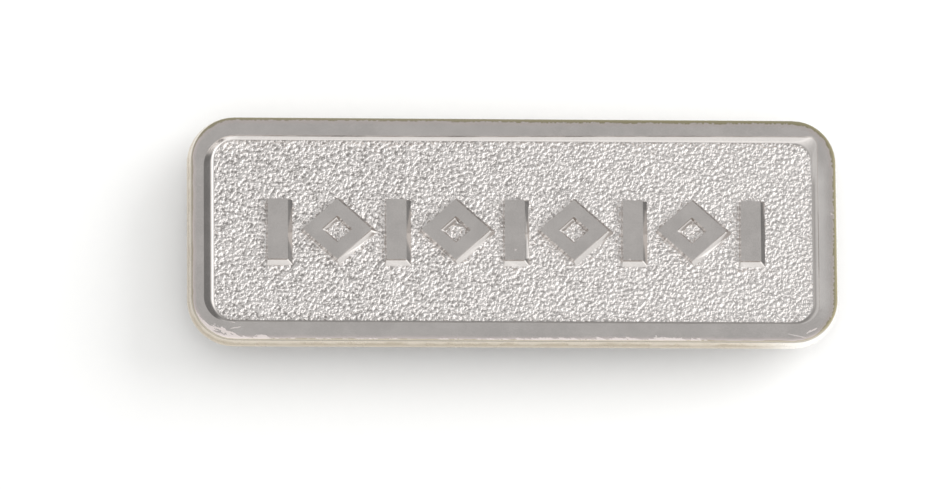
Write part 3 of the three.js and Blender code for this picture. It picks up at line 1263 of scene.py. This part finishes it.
@dataclass(frozen=True)
class MetalFinish:
    """Nickel plating, with its specks and its rubbing lines, and painted highlight and painted shade where
    the mesh marks them.
    """

    name: str
    plating: Colour = (0.72, 0.684, 0.657)
    # Lighter colour of rubbed metal, on the rim also a painted highlight along the lower edge.
    bare_and_highlight: Colour = (0.86, 0.785, 0.76)
    # Colour of the painted highlight.
    highlight_colour: Colour = (1.0, 0.96, 0.93)
    # Colour of the painted shade, and the most of it that covers the metal.
    shade_colour: Colour = (0.2, 0.185, 0.17)
    shade_cover: float = 0.6
    roughness: float = 0.14
    rubbed_roughness: float = 0.35
    speck_share: float = 0.05
    spots: tuple[WornSpot, ...] = ()

    def build(self, effects: Effects) -> bpy.types.Material:
        """Makes the material.

        Args:
            effects: The shared node groups.

        Returns:
            The material.
        """
        material = bpy.data.materials.new(self.name)
        material.use_nodes = True
        graph = Graph(material.node_tree)
        vector = graph.add("TexCoord").outputs["Object"]
        on = Coat(graph, effects, vector, graph.noise(vector, 420.0, 4.0, 0.6))
        rubbed = self.rubbing(on)
        # Lightens rubbed places; on the rim these include a band of painted highlight along the lower edge.
        colour = graph.mix(rubbed, self.base_colour(on), self.bare_and_highlight)
        # Painted highlight: lightens the upper inner wall, its left corner and the rim beside the right inner
        # wall.
        colour = graph.mix(graph.stored("painted_highlight"), colour, self.highlight_colour)
        # Painted shade: darkens the inner wall's foot above and at the right, and the lower inner wall.
        shaded = graph.ramp(graph.stored("foot_shade"), 0.1, 1.0, (0.0, self.shade_cover))
        colour = graph.mix(shaded, colour, self.shade_colour)
        lines = graph.group(effects.hairlines, {"Vector": vector})
        rough = graph.ramp(on.patches, 0.25, 0.75, (self.roughness * 0.85, self.roughness * 1.2))
        rough = graph.plus(rough, graph.times(lines, 0.06))
        rough = graph.plus(rough, graph.times(rubbed, self.rubbed_roughness))
        shader = material.node_tree.nodes["Principled BSDF"]
        shader.inputs["Metallic"].default_value = 1.0
        layers = {"Base Color": colour, "Roughness": rough, "Normal": self.relief(on, lines, rubbed)}
        for socket, layer in layers.items():
            material.node_tree.links.new(layer, shader.inputs[socket])
        return material

    def base_colour(self, on: Coat) -> Socket:
        """Varies the plating's colour a little, by patches and by fine grain.

        Args:
            on: What the layers share.

        Returns:
            The colour.
        """
        grain = on.graph.noise(on.vector, 9000.0, 1.0)
        both = on.graph.plus(on.graph.times(on.patches, 0.5), on.graph.times(grain, 0.5))
        darker, lighter = (tuple(share * c for c in self.plating) for share in (0.94, 1.03))
        return on.graph.mix(on.graph.ramp(both, 0.35, 0.65), darker, lighter)

    def rubbing(self, on: Coat) -> Socket:
        """Marks specks and rubbed spots.

        Args:
            on: What the layers share.

        Returns:
            Mask, 1 where the plating is rubbed.
        """
        graph = on.graph
        inputs = {"Vector": on.vector, "Scale": 900.0, "Share": self.speck_share, "Size": 0.16}
        rubbed = graph.times(graph.group(on.effects.specks, inputs), 0.7)
        for spot in self.spots:
            inputs = {
                "Vector": on.vector,
                "Centre": (spot.x * MM, spot.y * MM, 0.0),
                "Angle": math.radians(spot.angle),
                "Length": spot.half_length * MM,
                "Width": spot.half_width * MM,
            }
            mark = graph.times(graph.group(on.effects.mark, inputs), spot.strength)
            rubbed = graph.math("MAXIMUM", rubbed, mark)
        return rubbed

    def relief(self, on: Coat, lines: Socket, rubbed: Socket) -> Socket:
        """Raises and sinks the surface by a few thousandths of a millimetre.

        Args:
            on: What the layers share.
            lines: Rubbing lines.
            rubbed: Rubbed places.

        Returns:
            The normal.
        """
        graph = on.graph
        height = graph.times(graph.noise(on.vector, 3800.0, 2.0), 0.25)
        height = graph.minus(graph.minus(height, graph.times(lines, 0.35)), graph.times(rubbed, 0.6))
        return graph.add("Bump", {"Strength": 0.35, "Distance": 0.004 * MM, "Height": height}).outputs[0]


@dataclass(frozen=True)
class RimFinish(MetalFinish):
    """Polished nickel of the rim: rosy near its outer edge, paler there on the lower and left sides as
    painted highlight, olive at it with painted shade deepening it on the upper and right sides, and rubbed in
    a ragged band that along the lower edge also paints highlight.
    """

    rosy: Colour = (0.72, 0.65, 0.615)
    # Paler rosy tone near the lower and left edges, a painted highlight.
    pale: Colour = (0.83, 0.74, 0.715)
    # Olive of the outer edge line, deepened as painted shade on the upper and right sides.
    olive: Colour = (0.43, 0.39, 0.25)

    def base_colour(self, on: Coat) -> Socket:
        """Adds the edge's tints to the plating, by the distance to the outer edge, with painted highlight on
        the lower and left sides and painted shade on the upper and right.

        Args:
            on: What the layers share.

        Returns:
            The colour.
        """
        graph = on.graph
        edge_shade = graph.stored("edge_shade")
        notches = graph.ramp(graph.noise(on.vector, 4200.0, 2.0), 0.35, 0.65, (0.06, -0.06))
        wavering = graph.plus(graph.stored("inset"), graph.ramp(on.patches, 0.3, 0.7, (0.05, -0.05)))
        wavering = graph.plus(wavering, graph.times(notches, edge_shade))
        # Painted highlight: near the lower and left edges the rosy tone is paler.
        warm = graph.mix(edge_shade, self.pale, self.rosy)
        near = graph.ramp(graph.minus(wavering, graph.times(edge_shade, 0.2)), 0.48, 0.2, (0.0, 0.85))
        rosy = graph.mix(near, super().base_colour(on), warm)
        at_edge = graph.ramp(graph.minus(wavering, graph.times(edge_shade, 0.16)), 0.17, 0.07)
        # Painted shade: the olive edge line is deeper on the upper and right sides.
        depth = graph.plus(graph.times(edge_shade, 0.32), 0.65)
        return graph.mix(graph.times(at_edge, depth), rosy, self.olive)

    def rubbing(self, on: Coat) -> Socket:
        """Adds the rubbed band, whose width the mesh carries and noise makes ragged; along the lower edge its
        lighter colour is partly wear and partly painted highlight.

        Args:
            on: What the layers share.

        Returns:
            Mask, 1 where the plating is rubbed and where highlight is painted along the lower edge.
        """
        graph = on.graph
        inset = graph.stored("inset")
        drawn = graph.vector("MULTIPLY", graph.turned(on.vector, 0.4), (0.3, 1.0, 1.0))
        ragged = graph.ramp(graph.noise(drawn, 3000.0, 4.0, 0.65), 0.32, 0.68, (0.3, 1.4))
        reach = graph.times(graph.stored("wear_and_highlight"), ragged)
        # Painted highlight, partly wear: a lighter band next to the outer edge along the lower side.
        band = graph.times(graph.ramp(graph.minus(reach, inset), -0.02, 0.1), graph.ramp(inset, 0.04, 0.12))
        return graph.math("MAXIMUM", super().rubbing(on), band)


@dataclass(frozen=True)
class PebbleFinish(MetalFinish):
    """Nickel over the pebbled ground, with grains too fine for the mesh and painted shade in the pits between
    them.
    """

    grain_depth: float = 0.16
    grain_scale: float = 3500.0
    # Strongest painted shade in the pits.
    pit_shade: float = 0.62

    def base_colour(self, on: Coat) -> Socket:
        """Paints shade into the pits between the grains, more to the left.

        Args:
            on: What the layers share.

        Returns:
            The colour.
        """
        graph = on.graph
        # Painted shade: darkens the hollows of the grain noise, more towards the left end.
        pits = graph.ramp(graph.noise(on.vector, self.grain_scale, 1.0), 0.5, 0.34, (0.0, self.pit_shade))
        less = graph.ramp(graph.part(on.vector, "X"), -0.02, 0.024, (1.0, 0.4))
        return graph.mix(graph.times(pits, less), super().base_colour(on), self.shade_colour)

    def relief(self, on: Coat, lines: Socket, rubbed: Socket) -> Socket:
        """Adds the fine grains.

        Args:
            on: What the layers share.
            lines: Rubbing lines.
            rubbed: Rubbed places.

        Returns:
            The normal.
        """
        height = on.graph.noise(on.vector, self.grain_scale, 1.0)
        inputs = {"Strength": 1.0, "Distance": self.grain_depth * MM, "Height": height}
        inputs["Normal"] = super().relief(on, lines, rubbed)
        return on.graph.add("Bump", inputs).outputs[0]


@dataclass(frozen=True)
class SideFinish(MetalFinish):
    """The side wall, rubbed to a creamy brass, with painted reflection of the floor and its shadow as an
    olive band above a lighter foot.
    """

    highlight_colour: Colour = (1.0, 0.98, 0.94)
    cream: Colour = (0.8, 0.72, 0.61)
    # Olive of the painted reflection of the floor's shadow.
    olive: Colour = (0.58, 0.5, 0.385)
    # Darker band along the top of the wall.
    upper_dark_band: Colour = (0.4, 0.36, 0.3)
    upper: float = 0.5
    lower: float = 1.3
    foot: float = 1.75

    def base_colour(self, on: Coat) -> Socket:
        """Blends cream into olive and back by the depth below the rim, unevenly, as painted reflection of the
        floor and its shadow, under a darker band along the top.

        Towards the right end the wall is lightened as a painted highlight.

        Args:
            on: What the layers share.

        Returns:
            The colour.
        """
        graph = on.graph
        depth = graph.stored("depth")
        uneven = graph.plus(depth, graph.ramp(on.patches, 0.3, 0.7, (-0.35, 0.35)))
        # Painted reflection: the olive band and the lighter foot stand for the floor and its shadow mirrored
        # in the wall.
        wall = graph.mix(graph.ramp(uneven, self.upper, self.lower), self.cream, self.olive)
        wall = graph.mix(graph.ramp(depth, self.lower, self.foot, (0.0, 0.8)), wall, self.cream)
        # Painted highlight towards the right end.
        wall = graph.mix(graph.ramp(graph.part(on.vector, "X"), 0.02, 0.026), wall, self.highlight_colour)
        # A darker band along the top of the wall.
        return graph.mix(graph.ramp(depth, 0.4, 0.26, (0.0, 0.9)), wall, self.upper_dark_band)


@dataclass(frozen=True)
class Card:
    """One soft card of light that the metal mirrors."""

    azimuth: float
    elevation: float
    edge: float
    full: float
    strength: float

    @property
    def towards(self) -> tuple[float, float, float]:
        """Direction of its middle. Azimuth 0 is +X, and 90 is +Y."""
        a, e = math.radians(self.azimuth), math.radians(self.elevation)
        return math.cos(a) * math.cos(e), math.sin(a) * math.cos(e), math.sin(e)

    def light(self, graph: Graph, effects: Effects, direction: Socket, strength: float) -> Socket:
        """Adds the card's light to the surroundings.

        Args:
            graph: The world's graph.
            effects: The shared node groups.
            direction: Direction that is looked in.
            strength: Brightness in its middle.

        Returns:
            Brightness in the direction.
        """
        edge, full = math.cos(math.radians(self.edge)), math.cos(math.radians(self.full))
        shape = {"Towards": self.towards, "Edge": edge, "Full": full}
        return graph.group(effects.card, {"Direction": direction, "Strength": strength, **shape})


@dataclass(frozen=True)
class Studio:
    """The stage: a pale floor, one large soft light and the surroundings that the metal mirrors."""

    base: float = 0.86
    lean: float = 1.15
    lean_limit: float = 0.36
    lean_azimuth: float = -40.0
    lean_rise: float = 1.0
    overhead: Card = Card(65, 79.5, 12, 4, 0.51)
    cards: tuple[Card, ...] = (
        Card(-5, 46, 32, 16, 0.5),
        Card(22, 2, 50, 22, -0.68),
        Card(180, 8, 40, 20, -0.06),
        Card(180, 45, 30, 10, 0.2),
    )
    darkest: float = 0.05
    ambient: float = 0.48
    ambient_above: float = 1.25
    key_azimuth: float = 30
    key_elevation: float = 24
    key_distance: float = 0.5
    key_size: float = 0.5
    key_power: float = 2.35
    floor_size: float = 6.0
    floor_tone: Colour = (0.86, 0.86, 0.85)

    def build(self, effects: Effects) -> None:
        """Makes the floor, the light and the surroundings.

        Args:
            effects: The shared node groups.
        """
        self.make_floor()
        self.make_key()
        self.make_world(effects)
        bpy.context.scene.view_settings.view_transform = "Standard"

    def make_floor(self) -> None:
        """Makes a flat floor under the badge, with the faint mottling of paper."""
        half = self.floor_size / 2
        mesh = bpy.data.meshes.new("floor")
        corners = [(-half, -half, 0), (half, -half, 0), (half, half, 0), (-half, half, 0)]
        mesh.from_pydata(corners, [], [(0, 1, 2, 3)])
        floor = bpy.data.objects.new("floor", mesh)
        bpy.context.scene.collection.objects.link(floor)
        material = bpy.data.materials.new("Paper floor")
        material.use_nodes = True
        graph = Graph(material.node_tree)
        shader = material.node_tree.nodes["Principled BSDF"]
        shader.inputs["Roughness"].default_value = 0.9
        shader.inputs["Specular IOR Level"].default_value = 0.1
        mottling = graph.noise(graph.add("TexCoord").outputs["Object"], 900.0, 2.0)
        colour = graph.mix(mottling, tuple(0.985 * c for c in self.floor_tone), self.floor_tone)
        material.node_tree.links.new(colour, shader.inputs["Base Color"])
        mesh.materials.append(material)

    def make_key(self) -> None:
        """Makes the large soft light that casts the badge's shadow to the lower left."""
        data = bpy.data.lights.new("key", "AREA")
        data.shape = "DISK"
        data.size = self.key_size
        data.energy = self.key_power
        light = bpy.data.objects.new("key", data)
        bpy.context.scene.collection.objects.link(light)
        towards = Vector(Card(self.key_azimuth, self.key_elevation, 0, 0, 0).towards)
        light.location = towards * self.key_distance
        light.rotation_mode = "QUATERNION"
        light.rotation_quaternion = towards.to_track_quat("Z", "Y")
        light.visible_glossy = False

    def make_world(self, effects: Effects) -> None:
        """Makes the surroundings: mirrored cards for the metal, and an even light for the floor.

        Args:
            effects: The shared node groups.
        """
        world = bpy.data.worlds.new("studio")
        bpy.context.scene.world = world
        world.use_nodes = True
        graph = Graph(world.node_tree)
        direction = graph.add("TexCoord").outputs["Generated"]
        height = graph.part(direction, "Z")
        lean, limit = math.radians(self.lean_azimuth), self.lean_limit
        aside = graph.dot(direction, (math.cos(lean), math.sin(lean), 0.0))
        aside = graph.add("Clamp", {"Value": aside, "Min": -limit, "Max": limit}).outputs[0]
        leaning = graph.times(aside, graph.ramp(height, 0.0, self.lean_rise))
        total = graph.plus(graph.times(leaning, self.lean), self.base)
        for card in self.cards:
            total = graph.plus(total, card.light(graph, effects, direction, card.strength))
        shade = self.overhead.light(graph, effects, direction, 1.0)
        mirrored = graph.math("MAXIMUM", graph.blend(shade, total, self.overhead.strength), self.darkest)
        above = graph.math("MAXIMUM", graph.times(graph.minus(height, 0.5), 2.0), 0.0)
        even = graph.plus(graph.times(above, self.ambient_above), self.ambient)
        shown = graph.blend(graph.add("LightPath").outputs["Is Glossy Ray"], even, mirrored)
        background = world.node_tree.nodes["Background"]
        background.inputs["Color"].default_value = (1, 1, 1, 1)
        world.node_tree.links.new(shown, background.inputs["Strength"])


@dataclass(frozen=True)
class PhotoCamera:
    """The camera: a long lens a little below and to the left of straight above the badge."""

    tilt: float = 9.5
    swing: float = 4.5
    roll: float = -0.44
    distance: float = 0.7
    focal_pixels: float = 8031.0
    frame_width: int = 950
    sensor: float = 36.0
    aim: tuple[float, float, float] = (-3.42, -1.16, 4.8)

    def build(self) -> bpy.types.Object:
        """Makes the camera and gives it to the scene.

        Returns:
            The camera.
        """
        data = bpy.data.cameras.new("photo")
        data.sensor_width = self.sensor
        data.lens = self.focal_pixels / self.frame_width * self.sensor
        camera = bpy.data.objects.new("photo", data)
        bpy.context.scene.collection.objects.link(camera)
        tilt, swing = math.radians(self.tilt), math.radians(self.swing)
        level = math.cos(tilt)
        back = Vector((-math.sin(swing) * level, -math.sin(tilt), level * math.cos(swing))).normalized()
        right = (-back).cross(Vector((0, 1, 0))).normalized()
        up = right.cross(-back)
        axes = Matrix((right, up, back)).transposed() @ Matrix.Rotation(math.radians(self.roll), 3, "Z")
        camera.rotation_mode = "QUATERNION"
        camera.rotation_quaternion = axes.to_quaternion()
        camera.location = Vector(self.aim) * MM + back * self.distance
        bpy.context.scene.camera = camera
        return camera


@dataclass(frozen=True)
class NameBadge:
    """The whole badge."""

    plate: StruckPlate = StruckPlate()
    pin: BarPin = BarPin()
    polished: MetalFinish = RimFinish(
        "Polished nickel",
        spots=(
            WornSpot(-24.9, -8.2, -12, 0.5, 0.05, 0.7),
            WornSpot(-24.4, -8.75, 10, 0.5, 0.06, 0.6),
            WornSpot(26.0, -8.75, 28, 0.5, 0.07, 0.8),
            WornSpot(25.6, -8.9, 40, 0.3, 0.05, 0.6),
            WornSpot(24.6, -9.25, -12, 0.9, 0.05, 0.5),
        ),
    )
    pebbled: MetalFinish = PebbleFinish(
        "Pebbled nickel", plating=(0.8, 0.765, 0.743), roughness=0.22, speck_share=0.0
    )
    side: MetalFinish = SideFinish("Side wall rubbed to the brass", roughness=0.26)
    back: MetalFinish = MetalFinish("Back of the plate", roughness=0.3)
    steel: MetalFinish = MetalFinish(
        "Plated pin", plating=(0.66, 0.645, 0.625), roughness=0.28, speck_share=0.02
    )

    def build(self, effects: Effects) -> None:
        """Builds and dresses every piece.

        Args:
            effects: The shared node groups.
        """
        finishes = {
            Zone.POLISHED: self.polished,
            Zone.PEBBLED: self.pebbled,
            Zone.SIDE: self.side,
            Zone.BACK: self.back,
        }
        self.plate.build([finishes[zone].build(effects) for zone in Zone])
        self.pin.build(self.steel.build(effects))


def main() -> None:
    """Builds the stage, the camera and the badge."""
    logging.basicConfig(level=logging.INFO, format="%(name)s: %(message)s")
    effects = Effects()
    Studio().build(effects)
    PhotoCamera().build()
    NameBadge().build(effects)


if __name__ == "__main__":
    main()
